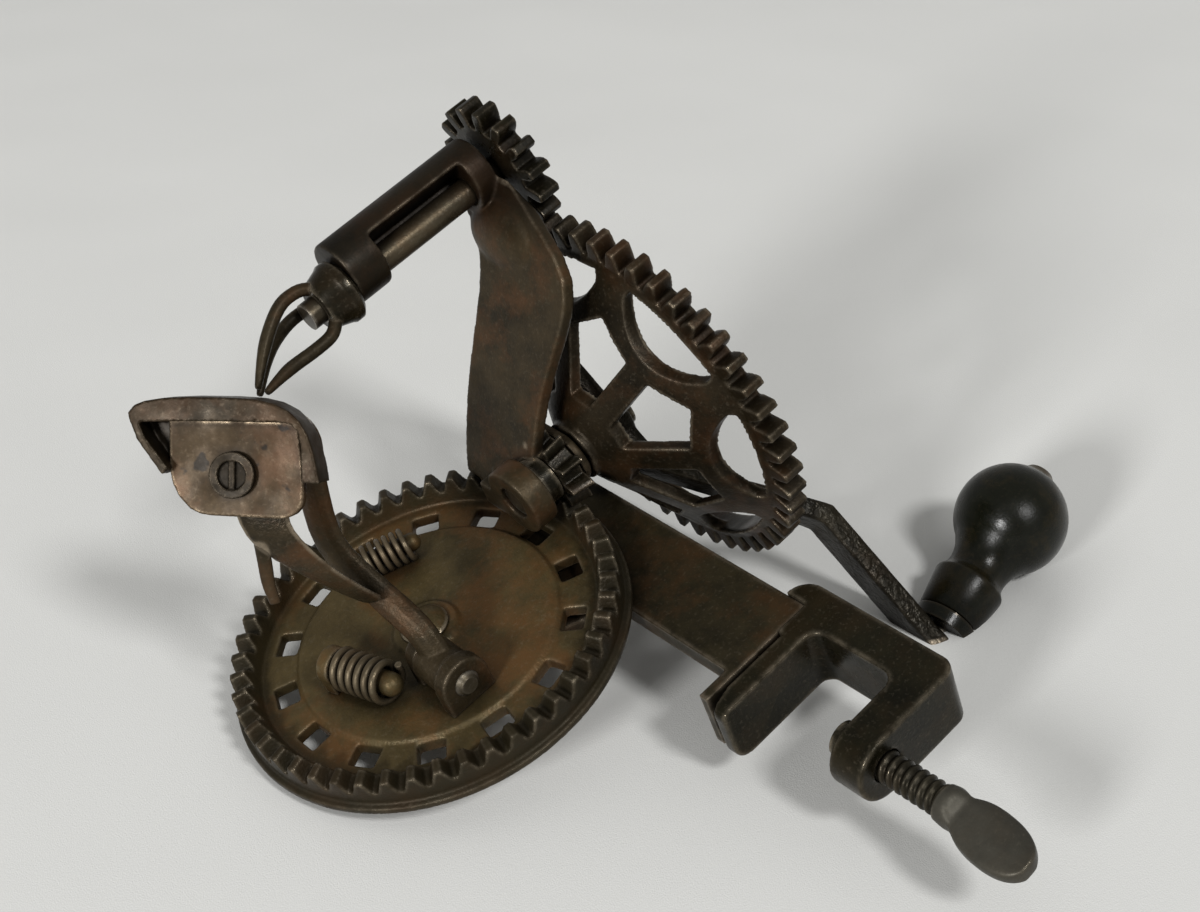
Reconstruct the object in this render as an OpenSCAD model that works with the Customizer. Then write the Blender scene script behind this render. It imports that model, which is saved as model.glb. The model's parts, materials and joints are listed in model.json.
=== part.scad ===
// Clamp-on apple parer with a geared turntable. Millimetres, +Z up, the table top is the plane z = 0.
// Inside place() the axes are a (right), b (up) and h (out of the turntable's face, towards -Y).

/* [Turntable] */
// Radius of the turntable's flange
table_r = 58.2; // [57:0.1:62]
// Thickness of the turntable's web
table_web = 4; // [3:0.25:4.5]
// Height of the raised middle over the web
table_step = 1; // [0.5:0.25:1.5]
// Radius of the raised middle
table_mid_r = 38; // [34:0.5:38.5]
// Number of teeth on the turntable
table_teeth = 48; // [48:1:48]
// Radius of the pitch circle of the turntable's teeth
table_pitch_r = 53; // [52:0.5:54]
// Number of windows around the turntable
window_count = 14; // [10:1:15]
// Length of a window along the rim
window_len = 8; // [6:0.5:10]
// Radius of the pivot stud
pivot_r = 4; // [3.5:0.25:5]

/* [Crank train] */
// Height of the crank shaft over the turntable's flange
crank_h = 19.5; // [19:0.25:20.5]
// Radius of the crank shaft
shaft_r = 5; // [4.5:0.25:5.5]
// Number of teeth on the bevel pinion
bevel_teeth = 9; // [9:1:9]
// Module of the wheel and the fork pinion
gear_module = 2.4; // [2.3:0.02:2.5]
// Number of teeth on the drive wheel
wheel_teeth = 48; // [44:2:50]
// Number of teeth on the fork pinion
pinion_teeth = 16; // [14:1:17]
// Play between the flanks of two meshing teeth
backlash = 0.5; // [0.3:0.05:0.7]
// Width of the wheel's rim
rim_w = 7; // [6:0.5:9]
// Place of the rim's front face along the crank shaft
rim_a = 89.5; // [88:0.5:92]
// Number of spokes
spoke_count = 7; // [6:1:8]
// Width of a spoke
spoke_w = 8.2; // [6:0.2:10]
// Thickness of the wheel's dished web
web_t = 4.2; // [3.5:0.1:5]
// Length of the crank arm, from shaft to handle
arm_len = 111; // [100:1:120]
// Thickness of the crank arm
arm_t = 6; // [5:0.5:8]
// Angle of the hanging crank arm, from straight down
arm_deg = 46.5; // [30:0.5:60]
// Lean of the handle towards the shaft
handle_lean = 11.6; // [0:0.2:15]
// Radius of the handle's ball
knob_r = 17; // [15:0.5:19]
// Radius of the handle's stud
stud_r = 3.5; // [3:0.25:4]

/* [Fork] */
// Direction from the crank shaft to the fork spindle
mesh_deg = 64; // [60:1:66]
// Radius of the fork spindle
spindle_r = 4; // [3.5:0.25:5]
// Outer radius of the spindle's barrel
barrel_r = 9.8; // [9:0.2:11]
// Place of the front end of the barrel along the spindle
barrel_a = 37; // [35:0.5:40]
// Radius of a prong
prong_r = 2; // [1.4:0.1:2.2]
// Reach of the prongs beyond their collar
prong_len = 27; // [22:1:30]

/* [Frame] */
// Thickness of the frame plate
plate_t = 6; // [4:0.5:8]
// Thickness of the post
post_t = 4; // [3.5:0.25:5]
// Depth of the clamp frame, front to back
clamp_d = 20; // [18:0.5:24]
// Height of the turntable's middle over the table top
jaw_drop = 88; // [87:0.5:94]
// Thickness of the clamp's upper jaw
jaw_t = 6; // [5:0.5:7]
// Clear height of the clamp's throat, from jaw to lower arm
throat = 28; // [26:0.5:34]
// Thickness of the clamp's lower arm
lower_t = 11; // [10:0.5:14]
// Width of the clamp's back bar
bar_w = 12; // [10:0.5:14]

/* [Clamp screw] */
// Radius of the clamp screw
screw_r = 4.5; // [4:0.25:5.5]
// Place of the pad's face under the jaw
pad_gap = 23.5; // [18:0.5:23.5]
// Radius of the pad
pad_r = 5; // [5:0.25:8]
// Thickness of the pad
pad_t = 3.5; // [3:0.25:4]
// Length of the wing
wing_len = 31; // [25:1:35]
// Half width of the wing
wing_r = 7.5; // [6.5:0.5:10]

/* [Knife] */
// Height of the knife's hinge over the flange
hinge_h = 12.5; // [12:0.25:14]
// Radius of the hinge pin
hinge_r = 2.5; // [2:0.25:3]
// Width of the knife arm's barrel
knuckle_w = 11; // [9:0.5:12]
// Thickness of an ear
ear_t = 4.5; // [3.5:0.25:5]
// Width of the knife arm
knife_w = 9; // [7:0.5:10]
// Thickness of the knife arm
knife_t = 5; // [4:0.25:6]
// Thickness of the blade
blade_t = 1; // [0.8:0.1:1.5]

/* [Springs] */
// Mean radius of the lower spring
spring1_r = 5.2; // [4.8:0.1:5.6]
// Radius of the lower spring's wire
wire1_r = 1.05; // [0.8:0.05:1.1]
// Turns of the lower spring
turns1 = 6; // [5:1:7]
// Rise of the lower spring in one turn
pitch1 = 2.8; // [2.7:0.05:3]
// Mean radius of the upper spring
spring2_r = 4.4; // [4:0.1:5]
// Radius of the upper spring's wire
wire2_r = 0.85; // [0.6:0.05:0.9]
// Turns of the upper spring
turns2 = 6; // [4:1:7]
// Rise of the upper spring in one turn
pitch2 = 2.3; // [2.25:0.05:2.5]

/* [Hidden] */
// Radial play of a shaft in its bearing
run = 0.06;
// Play of a piece that is pressed on its shaft
fit = 0.02;
// Play between faces that pass each other
clear = 0.3;
iron = [0.23, 0.18, 0.15];
dark = [0.16, 0.13, 0.12];
steel = [0.36, 0.33, 0.30];
black = [0.05, 0.05, 0.05];
$fn = 64;

// Where the clamp screw stands, from the turntable's middle
clamp_a = 46.5;
clamp_h = -1 - clamp_d / 2;

// Gear sizes that follow from the teeth
wheel_pr = gear_module * wheel_teeth / 2;
pinion_pr = gear_module * pinion_teeth / 2;
addendum = 0.55 * gear_module;
dedendum = 1.9 * gear_module;
mesh_d = wheel_pr + pinion_pr;
fork_b = mesh_d * cos(mesh_deg);
fork_h = crank_h + mesh_d * sin(mesh_deg);
bevel_pr = table_pitch_r * bevel_teeth / table_teeth;
bevel_press = 25;
table_add = 1.55;
table_ded = 2.5;
slot_w = 3.7;
rim_out = table_pitch_r + 3.4;
rim_in = table_pitch_r - 1.2;
window_in = table_mid_r + table_step + 0.4;
window_out = window_in + 6.6;
plate_h = -2;
mid_h = table_web + table_step;
// The bevel pinion and the bearings along the crank shaft
bevel_a0 = 52.4;
bevel_a1 = 59.4;
boss_a0 = 39.5;
boss_a1 = 47;
rear_a0 = 60;
rear_a1 = 62.6;
hub_a = 63;
hub_len = 12.4;
boss_r = shaft_r + 3.5;
front_boss_r = shaft_r + 5.5;
collar_r = shaft_r + 2.5;
// How deep the shaft's end lies in its front bearing
shaft_in = 1.5;
// The post leans by this much for each unit of height
lean = 0.583;
post_a = 34.3;
post_run = sqrt(1 + lean * lean);

function unit(v) = v / norm(v);
function side(t, ref) = unit(ref - (ref * t) * t);

module place() translate([-clamp_a, clamp_h, jaw_drop]) rotate([90, 0, 0]) children();
// Stands a drawing of (b, h) at one place along a
module along_a(a) translate([a, 0, 0]) rotate([90, 0, 90]) children();
// Stands a drawing of (a, h) at one place along b, growing towards -b
module along_b(b) translate([0, b, 0]) rotate([90, 0, 0]) children();

// A closed skin through rings of points, with flat ends
module skin(rings) {
    n = len(rings);
    k = len(rings[0]);
    pts = [for (r = rings, p = r) p];
    sides = [for (i = [0:n - 2], j = [0:k - 1], s = [0, 1])
        let (p = i * k + j, q = i * k + (j + 1) % k)
        s == 0 ? [p, p + k, q + k] : [p, q + k, q]];
    first = [for (j = [1:k - 2]) [0, j, j + 1]];
    last = [for (j = [1:k - 2]) [(n - 1) * k, (n - 1) * k + j + 1, (n - 1) * k + j]];
    polyhedron(points = pts, faces = concat(first, sides, last), convexity = 10);
}

function tangent(p, i) = unit(p[min(i + 1, len(p) - 1)] - p[max(i - 1, 0)]);
function oval(c, n, m, ra, rb, k) = [for (j = [0:k - 1])
    c + n * ra * cos(360 * j / k) + m * rb * sin(360 * j / k)];
// Rings of an oval section along a path, with the half sizes given at each point
function sweep(p, ref, ra, rb, k) = [for (i = [0:len(p) - 1])
    let (t = tangent(p, i), n = side(t, ref), m = cross(t, n)) oval(p[i], n, m, ra[i], rb[i], k)];
// A smooth path through a few points
function curve_at(p, i, u) =
    let (a = p[max(i - 1, 0)], b = p[i], c = p[i + 1], d = p[min(i + 2, len(p) - 1)])
    0.5 * (2 * b + (c - a) * u + (2 * a - 5 * b + 4 * c - d) * u * u + (3 * b - a - 3 * c + d) * u * u * u);
function curve(p, steps) = concat([for (i = [0:len(p) - 2], s = [0:steps - 1]) curve_at(p, i, s / steps)],
    [p[len(p) - 1]]);
function even(v, n) = [for (i = [0:n - 1]) let (x = i * (len(v) - 1) / (n - 1), k = min(floor(x), len(v) - 2))
    v[k] + (v[k + 1] - v[k]) * (x - k)];

// Involute gear outline with one tooth standing on the x axis
function rolled(x) = tan(x) * 180 / PI - x;
function half_tooth(r, rp, n, press, play) =
    let (rb = rp * cos(press), q = max(r, rb))
    90 / n - play * 90 / (PI * rp) + rolled(press) - rolled(acos(min(1, rb / q)));
function gear_points(n, rp, press, add, ded, play) = [for (i = [0:n - 1], s = [-1, 1], j = [0:4])
    let (u = s < 0 ? j / 4 : 1 - j / 4, r = rp - ded + (add + ded) * u)
    let (t = i * 360 / n + s * half_tooth(r, rp, n, press, play)) [r * cos(t), r * sin(t)]];

module turntable() color(iron) place() difference() {
    rotate_extrude($fn = 96) polygon([[pivot_r + run, plate_h + clear], [12, plate_h + clear], [12, 0],
        [table_r, 0], [table_r, 2], [rim_out, 2.6], [rim_out, tip_h(rim_out)], [rim_in, tip_h(rim_in)],
        [rim_in - 2.5, table_web], [table_mid_r + table_step, table_web], [table_mid_r, mid_h],
        [10.5, mid_h], [9, mid_h + 1.5], [pivot_r + run, mid_h + 1.5]]);
    for (i = [0:table_teeth - 1]) rotate([0, 0, i * 360 / table_teeth]) tooth_gap();
    for (i = [0:window_count - 1]) rotate([0, 0, 1.1 + i * 360 / window_count])
        translate([(window_in + window_out) / 2, 0, 0])
            cube([window_out - window_in, window_len, 20], center = true);
}
function tip_h(r) = crank_h - r * (bevel_teeth - table_add * table_teeth / table_pitch_r) / table_teeth;
// One gap, running down along the root cone from its apex on the crank shaft
module tooth_gap() {
    rake = atan((bevel_pr + table_ded) / table_pitch_r);
    w = tan(bevel_press);
    translate([0, 0, crank_h]) rotate([0, rake, 0]) translate([rim_in - 2, 0, 0]) rotate([90, 0, 90])
        linear_extrude(rim_out - rim_in + 10)
            polygon([[-slot_w / 2 + table_ded * w, 0], [slot_w / 2 - table_ded * w, 0],
                [slot_w / 2 + 5 * w, table_ded + 5], [-slot_w / 2 - 5 * w, table_ded + 5]]);
}

module pivot_stud() color(steel) place() {
    translate([0, 0, plate_h - plate_t]) cylinder(r = pivot_r, h = mid_h + 1.5 + clear - plate_h + plate_t);
    translate([0, 0, mid_h + 1.5 + clear]) intersection() {
        cylinder(r = pivot_r + 3, h = 4);
        translate([0, 0, -5.3]) sphere(r = 9);
    }
}

module frame_plate() color(iron) place() difference() {
    union() {
        translate([0, 0, plate_h - plate_t]) linear_extrude(plate_t) union() {
            polygon([[41, -tongue_b], [plate_a1, -tongue_b], [plate_a1, 30], [rear_a0, 30], [52, 15], [0, 13.5], [0, -13.5], [41, -36]]);
            circle(r = 13.5);
        }
        translate([31, -tongue_b - 3, plate_h - plate_t - 13]) cube([27, 3, plate_t + 13]);
        translate([58, -tongue_b - 3, plate_h - plate_t]) cube([plate_a1 - 58, 3, plate_t]);
    }
    translate([0, 0, plate_h - plate_t - 1]) cylinder(r = pivot_r + fit, h = plate_t + 2);
}
// Rounding of the clamp's lower corner, of its jaw's rear corner and of its jaw's front corner
corner_r = 9;
jaw_rear_r = 5;
jaw_front_r = 3;
// Ends of the plate and of the jaw, from the turntable's middle
plate_a1 = 69;
jaw_a0 = 29;
// Where the plate's turned-down tongue starts, over the table top
tongue_b = jaw_drop - 11;

module clamp_frame() color(iron) place() difference() {
    b0 = -jaw_drop;
    b1 = b0 - throat;
    union() {
    translate([0, 0, clamp_h - clamp_d / 2]) linear_extrude(clamp_d) union() {
        difference() {
            translate([58, b1 - lower_t]) square([6 + bar_w, jaw_drop - tongue_b - 3 + throat + lower_t]);
            translate([40, b1 + 4]) square([24, throat - 8]);
            translate([60, b1 + 4]) circle(r = 4);
            translate([60, b0 - 4]) circle(r = 4);
            translate([50, b1]) square([10, throat]);
            translate([64 + bar_w - corner_r, b1 - lower_t]) difference() {
                translate([0, -1]) square([corner_r + 1, corner_r + 1]);
                translate([0, corner_r]) circle(r = corner_r);
            }
        }
        translate([58, b0]) square([6, jaw_t]);
        polygon([[jaw_a0, b0], [58, b0], [58, b0 + jaw_t], [jaw_a0 + 8, b0 + jaw_t], [jaw_a0, b0 + jaw_t - 2]]);
        translate([clamp_a, b1 - lower_t]) square([12, lower_t]);
        intersection() {
            translate([plate_a1, -tongue_b - 3]) circle(r = 64 + bar_w - plate_a1);
            translate([plate_a1, -tongue_b - 3]) square(bar_w);
        }
    }
    translate([0, 0, clamp_h - clamp_d / 2]) linear_extrude(clamp_d - plate_t - 1 - clear)
        translate([64 + bar_w / 2, -tongue_b - 3]) circle(r = bar_w / 2 - clear);
    }
    translate([clamp_a, b0, clamp_h]) rotate([90, 0, 0]) translate([0, 0, throat - 1])
        cylinder(r = screw_r + run, h = lower_t + 2);
    along_b(b0 + jaw_t + 1) linear_extrude(jaw_t + 2) {
        translate([jaw_a0, clamp_h - clamp_d / 2]) corner(jaw_rear_r);
        translate([jaw_a0, clamp_h + clamp_d / 2]) mirror([0, 1]) corner(jaw_front_r);
    }
}
// What is cut from a square corner at the lower left to round it
module corner(r) difference() {
    translate([-1, -1]) square(r + 1);
    translate([r, r]) circle(r = r);
}
module clamp_boss() color(iron) place() translate([clamp_a, -jaw_drop - throat, clamp_h]) rotate([90, 0, 0])
    difference() {
        cylinder(r = clamp_d / 2, h = lower_t);
        translate([0, -clamp_d, -1]) cube([clamp_d, 2 * clamp_d, lower_t + 2]);
        translate([0, 0, -1]) cylinder(r = screw_r + run, h = lower_t + 2);
    }

// The leaning plate of the post, its gusset and the two bearings of the crank shaft
module post_plate() multmatrix([[0, lean / post_run, 1 / post_run, post_a], [1, 0, 0, 0],
    [0, 1 / post_run, -lean / post_run, 0], [0, 0, 0, 1]])
    linear_extrude(post_t) union() {
        polygon([[28, 17], [29.5, 24], [31, 52], [29, 79], [36, 90], [fork_b - 7, fork_h * post_run + 7],
            [8, 97], [0, 91.5], [-5, 86], [-6.2, 80], [-5, 71], [-2, 57], [0, 45], [0, 33], [2, 17]]);
        translate([fork_b + barrel_off, (fork_h + barrel_off) * post_run]) circle(r = barrel_r + 2.5);
    }
module post_casting() color(iron) place() difference() {
    union() {
        post_plate();
        along_b(30) linear_extrude(13) polygon([[rear_a0, plate_h], [68, plate_h], [rear_a1, 30],
            [post_a + 28.7, 42.1], [post_a + 20.6, 28.1], [rear_a0, 20]]);
        along_a(rear_a0) linear_extrude(rear_a1 - rear_a0) translate([0, crank_h]) union() {
            circle(r = boss_r);
            translate([0, -boss_r]) square([18, 2 * boss_r]);
        }
        along_a(boss_a0) linear_extrude(boss_a1 - boss_a0) translate([0, crank_h]) union() {
            circle(r = front_boss_r);
            translate([0, -front_boss_r + 2]) square([16, front_boss_r - 2]);
        }
        along_b(22) linear_extrude(20) polygon([[boss_a0 + 3, 13], [boss_a1, 13], [post_a + lean * 26, 26],
            [post_a + lean * 21, 21]]);
    }
    along_a(0) linear_extrude(200) translate([0, crank_h]) circle(r = shaft_r + run);
    along_a(boss_a1) linear_extrude(bevel_a0 - boss_a1) translate([0, crank_h]) circle(r = collar_r + clear);
    along_a(bevel_a0 - clear) linear_extrude(rear_a0 - bevel_a0 + clear) translate([0, crank_h])
        circle(r = bevel_pr * bevel_a1 / table_pitch_r + 3);
    along_a(0) linear_extrude(200) translate([fork_b + barrel_off, fork_h + barrel_off]) circle(r = barrel_r);
    along_a(rim_a - 1.5) linear_extrude(50) translate([fork_b, fork_h]) circle(r = pinion_pr + addendum + 2);
}

// The spindle's long barrel stands off the spindle and is cut open along its lower side
barrel_off = 2.6;
module fork_barrel() color(iron) place() difference() {
    along_a(barrel_a) linear_extrude(rim_a - 1.5 - barrel_a) translate([fork_b + barrel_off, fork_h + barrel_off])
        circle(r = barrel_r);
    along_a(0) linear_extrude(200) translate([fork_b, fork_h]) circle(r = spindle_r + run);
    along_a(barrel_a + 11) linear_extrude(rim_a - barrel_a - 19.5) translate([fork_b, fork_h]) rotate(225)
        polygon([[-spindle_r - 2, -30], [40, -30], [40, 30], [3, 30], [3, spindle_r + 0.8],
            [-spindle_r - 2, spindle_r + 0.8]]);
}
module fork_spindle() color(steel) place() along_a(barrel_a - 14)
    linear_extrude(rim_a + pinion_in + rim_w + 2 - barrel_a + 14) translate([fork_b, fork_h]) circle(r = spindle_r);
// How far the pinion stands behind the rim's front
pinion_in = 1;
module fork_pinion() color(dark) place() along_a(rim_a + pinion_in) linear_extrude(rim_w) translate([fork_b, fork_h])
    difference() {
        rotate(mesh_deg + 180 + 180 / pinion_teeth)
            polygon(gear_points(pinion_teeth, pinion_pr, 20, addendum, dedendum, backlash));
        circle(r = spindle_r + fit);
    }
module fork_collar() color(dark) place() along_a(barrel_a - 10) translate([fork_b, fork_h, 0]) difference() {
    rotate_extrude() polygon([[0, 0], [6.5, 0], [7.6, 2.5], [8.6, 5.5], [9.2, 6.5], [9.2, 8.6], [8, 10 - clear], [0, 10 - clear]]);
    translate([0, 0, -1]) cylinder(r = spindle_r + fit, h = 20);
}
// One bowed prong; its points lie across and along the spindle, the last one given as parts of its reach
module prong(root, bow, mid, tip) color(steel) place() along_a(0) translate([fork_b, fork_h, 0]) rotate(45) {
    a0 = barrel_a - 10;
    p = curve([[root.x, root.y, a0 + 1.2], [bow.x, bow.y, a0 - 2.5], [bow.x - 0.4, bow.y, a0 - 0.33 * prong_len],
        [mid.x, mid.y, a0 - 0.66 * prong_len], [tip.x, tip.y, a0 - prong_len]], 4);
    n = len(p);
    skin(sweep(p, [0, 1, 0], [for (i = [0:n - 1]) prong_r * (i < n - 5 ? 1 : 1 - 0.13 * (i - n + 5))],
        [for (i = [0:n - 1]) prong_r * (i < n - 5 ? 1 : 1 - 0.13 * (i - n + 5))], 8));
}
module prong_upper() prong([5, 2.6], [6.6, 3.2], [1, 1.8], [-6.9, 0.6]);
module prong_front() prong([1.6, -5.4], [3, -6.4], [-0.8, -4.2], [-8.1, -3]);
module prong_lower() prong([-5.4, 1.4], [-8, 1.8], [-8.2, 2.4], [-9.6, 4.4]);

module crank_shaft() color(steel) place() along_a(boss_a0 + shaft_in) translate([0, crank_h, 0])
    cylinder(r = shaft_r, h = arm_a0 + arm_bar + 3 - boss_a0 - shaft_in);
module shaft_collar() color(dark) place() along_a(boss_a1 + clear) translate([0, crank_h, 0]) difference() {
    cylinder(r = collar_r, h = bevel_a0 - boss_a1 - 2 * clear);
    translate([0, 0, -1]) cylinder(r = shaft_r + fit, h = 10);
}
// The wheel: a toothed rim carried by a dished web, whose front runs out to the teeth
wheel_root = wheel_pr - dedendum;
rim_inner = wheel_root - 3;
module drive_wheel() color(iron) place() along_a(rim_a) translate([0, crank_h, 0]) {
    z0 = hub_a - rim_a;
    r0 = shaft_r + 4.5;
    r1 = wheel_root - 0.6;
    linear_extrude(rim_w) difference() {
        rotate(mesh_deg) polygon(gear_points(wheel_teeth, wheel_pr, 20, addendum, dedendum, backlash));
        circle(r = rim_inner);
    }
    difference() {
        rotate_extrude($fn = 96) polygon([[shaft_r + fit, z0], [r0, z0], [r0, z0 + 2], [r1, 0], [r1, web_t],
            [r0, z0 + 2 + web_t], [r0, z0 + hub_len], [shaft_r + fit, z0 + hub_len]]);
        translate([0, 0, z0 - 1]) linear_extrude(60) wheel_windows();
    }
}
// Windows between the spokes, and ovals between the arches and the rim; one spoke points along spoke_deg
spoke_deg = 128;
arch_in = rim_inner - 16.7;
arch_out = rim_inner - 10;
oval_in = rim_inner - 11.5;
module wheel_windows() rotate(spoke_deg) {
    step = 360 / spoke_count;
    c = rim_inner + 10.3;
    for (i = [0:spoke_count - 1]) rotate(i * step) intersection() {
        translate([c, 0]) circle(r = c - oval_in);
        circle(r = rim_inner + 0.4);
        translate([0, -15.8]) square([rim_inner + 5, 31.6]);
    }
    difference() {
        polygon([for (i = [0:2 * spoke_count - 1]) let (r = i % 2 == 0 ? arch_in : arch_out)
            [r * cos(i * step / 2), r * sin(i * step / 2)]]);
        circle(r = shaft_r + 12);
        for (i = [0:spoke_count - 1]) rotate(i * step) translate([0, -spoke_w / 2]) square([rim_inner, spoke_w]);
    }
}
module bevel_pinion() color(dark) place() along_a(bevel_a1) translate([0, crank_h, 0]) difference() {
    k = bevel_a1 / table_pitch_r;
    rotate([180, 0, 0]) linear_extrude(height = bevel_a1 - bevel_a0, scale = bevel_a0 / bevel_a1)
        rotate(90) polygon(gear_points(bevel_teeth, bevel_pr * k, bevel_press, 1.7 * k, 2.1 * k, 1.1));
    translate([0, 0, -20]) cylinder(r = shaft_r + fit, h = 40);
}

// The crank arm: a flat bar across the wheel's back, a sloping length past the rim and a flat end
arm_a0 = hub_a + hub_len;
arm_a1 = rim_a + rim_w + 11.5;
arm_w = 12;
arm_bar = 5;
module turned() translate([0, 0, crank_h]) rotate([180 + arm_deg, 0, 0]) children();
module crank_arm() color(iron) place() turned() difference() {
    rim_back = rim_a + rim_w;
    union() {
        rotate([0, 90, 0]) translate([0, 0, arm_a0]) cylinder(r = shaft_r + 2.4, h = arm_bar + 1);
        translate([0, 0, -arm_w / 2]) linear_extrude(arm_w) polygon([[arm_a0, -18.5], [arm_a0 + arm_bar, -18.5],
            [arm_a0 + arm_bar, 18], [rim_back + 5, 47], [arm_a1 + arm_t / 2, 61], [arm_a1 + arm_t / 2, arm_len],
            [arm_a1 - arm_t / 2, arm_len], [arm_a1 - arm_t / 2, 63], [rim_back + 0.8, 50], [arm_a0, 17]]);
        translate([arm_a1 - arm_t / 2, arm_len, 0]) rotate([0, 90, 0]) cylinder(r = arm_w / 2 + 0.5, h = arm_t);
    }
    rotate([0, 90, 0]) cylinder(r = shaft_r + fit, h = 200);
    handle() translate([0, 0, -arm_t - 4]) cylinder(r = stud_r + fit, h = 2 * arm_t + 8);
}
// Stands on the arm's end, along the leaning handle
module handle() translate([arm_a1, arm_len, 0]) rotate([0, 0, -handle_lean]) rotate([0, 90, 0]) children();
ferrule_r = 8.9;
ferrule_h = 4;
// How much the ferrule and the handle's foot widen for each unit of height
flare = 0.12;
foot_h = 12.7;
foot_r = ferrule_r + flare * (ferrule_h + clear);
foot_top = foot_r + flare * foot_h;
seat_z = arm_t / 2 / cos(handle_lean) + ferrule_r * tan(handle_lean);
knob_top = 36.5 + knob_r;
module handle_stud() color(steel) place() turned() handle() {
    translate([0, 0, -arm_t / 2]) cylinder(r = stud_r, h = seat_z + ferrule_h + 1 + 2 * clear + knob_top + arm_t / 2);
    translate([0, 0, seat_z + ferrule_h + 2 * clear + knob_top]) cylinder(r1 = stud_r + 2.5, r2 = stud_r + 0.5, h = 2.5);
}
module handle_knob() color(black) place() turned() handle() translate([0, 0, seat_z + ferrule_h + clear]) difference() {
    rotate_extrude($fn = 96) difference() {
        union() {
            polygon([[0, 0], [foot_r, 0], [foot_top, foot_h], [foot_top - 0.3, foot_h + 1], [foot_top - 1.3, foot_h + 2],
                [foot_top - 1.9, foot_h + 4], [foot_top - 1.6, foot_h + 6], [foot_top - 0.5, foot_h + 8.5],
                [foot_top + 1.6, foot_h + 11.5], [0, 40]]);
            translate([0, 38]) circle(r = knob_r);
        }
        translate([-50, -50]) square([50, 200]);
        translate([0, knob_top]) square([60, 60]);
    }
    translate([0, 0, -1]) cylinder(r = stud_r + run, h = 120);
}
module handle_ferrule() color(iron) place() turned() handle() translate([0, 0, seat_z]) difference() {
    cylinder(r1 = ferrule_r, r2 = ferrule_r + flare * ferrule_h, h = ferrule_h);
    translate([0, 0, -1]) cylinder(r = stud_r + fit, h = 10);
}

// Knife hinge, at one side of the turntable
hinge_a = -8;
hinge_b = -22;
module ear(b, r) along_b(b) linear_extrude(ear_t) difference() {
    union() {
        translate([hinge_a, hinge_h]) circle(r = r);
        translate([hinge_a - r, mid_h]) square([2 * r, hinge_h - mid_h]);
    }
    translate([hinge_a, hinge_h]) circle(r = hinge_r + fit);
}
module hinge_ears() color(iron) place() {
    ear(hinge_b - knuckle_w / 2 - clear, 7.5);
    ear(hinge_b + knuckle_w / 2 + clear + ear_t, 5.5);
}
module hinge_pin() color(steel) place() along_b(hinge_b + knuckle_w / 2 + clear + ear_t + 1)
    translate([hinge_a, hinge_h, 0]) {
        cylinder(r = hinge_r, h = knuckle_w + 2 * clear + 2 * ear_t + 2);
        translate([0, 0, knuckle_w + 2 * clear + 2 * ear_t + 1]) cylinder(r1 = hinge_r + 1.3, r2 = hinge_r, h = 1.6);
    }
arm_path = curve([[hinge_a, hinge_b, hinge_h + 3], [-7.5, -16.5, 24], [-8.5, -4.5, 32.5], [-10, 6, 47], [-5.4, 8.4, 66],
    [-2.4, 5, 80], [-3.6, 3.2, 88]], 4);
module knife_arm() color(iron) place() {
    n = len(arm_path);
    difference() {
        union() {
            along_b(hinge_b + knuckle_w / 2) translate([hinge_a, hinge_h, 0]) cylinder(r = 6.5, h = knuckle_w);
            skin(sweep(arm_path, [0.6, -0.75, 0], even([knife_w / 2, knife_w / 2, knife_w / 2 - 0.5], n),
                even([knife_t / 2 + 0.5, knife_t / 2, knife_t / 2], n), 10));
        }
        along_b(hinge_b + 40) translate([hinge_a, hinge_h, 0]) cylinder(r = hinge_r + run, h = 80);
    }
}
// The knife's head has its own flat, facing outwards
head_u = [0.62, -0.757, -0.206];
head_v = [0.611, 0.302, 0.731];
head_n = [-0.491, -0.579, 0.650];
head_at = [-22, 8, 83];
module head() multmatrix([for (i = [0:3]) i == 3 ? [0, 0, 0, 1] : [head_u[i], head_v[i], head_n[i], head_at[i]]])
    children();
// The guard: a band over the plate that runs down into the arm at one side and to a thin wall at the other
guard_top = [[-26.5, 14.8], [-24.9, 16.8], [-22.3, 17.9], [-17.5, 18.8], [-10.5, 19.3], [0, 19.5], [6.5, 19.3],
    [11.2, 18.4], [15.1, 16.6], [17.8, 14.3], [20, 11], [21.5, 6.9], [22.5, 3.2], [23.3, -1]];
guard_under = [[18.6, -1], [18.4, 8], [17.6, 11.6], [15.6, 13.4], [13, 13.7], [-8.7, 13.3], [-23.6, 12.6],
    [-22, 9], [-15.9, 1.4]];
guard_side = [[-17.3, -0.4], [-24, 8.2], [-26.2, 13.4]];
module knife_guard() color(iron) place() head() {
    translate([0, 0, -4]) linear_extrude(9.5) polygon(concat(guard_top, guard_under, guard_side));
    translate([0, 0, -4]) linear_extrude(2.5) polygon([[-25, 14], [-23, 8.4], [-16.6, 0.4], [-15.2, 0.4], [-15.2, 8.2],
        [16, 8.2], [17, 12.6], [15, 15.5], [-20, 16.5]]);
}
module knife_plate() color(iron) place() head() translate([0, 0, -1.5]) linear_extrude(3)
    polygon([[-17.2, 14], [-16.8, 0.4], [-15.9, -3.2], [-14.2, -6.2], [-11.4, -9], [-8.6, -10.2], [-5.7, -10.5],
        [11.7, -10.6], [14, -10.3], [16.2, -9.2], [17.8, -7.2], [18.2, -5], [18, 1.8], [16.6, 12], [16, 14]]);
module blade_screw() color(steel) place() head() translate([0, 0, 1.5]) {
    difference() {
        cylinder(r = 5.9, h = 2);
        translate([0, 0, 0.8]) cylinder(r = 3.7, h = 3);
    }
    translate([-0.8, -4.2, 0.5]) cube([1.6, 8.4, 1.3]);
}
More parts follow.
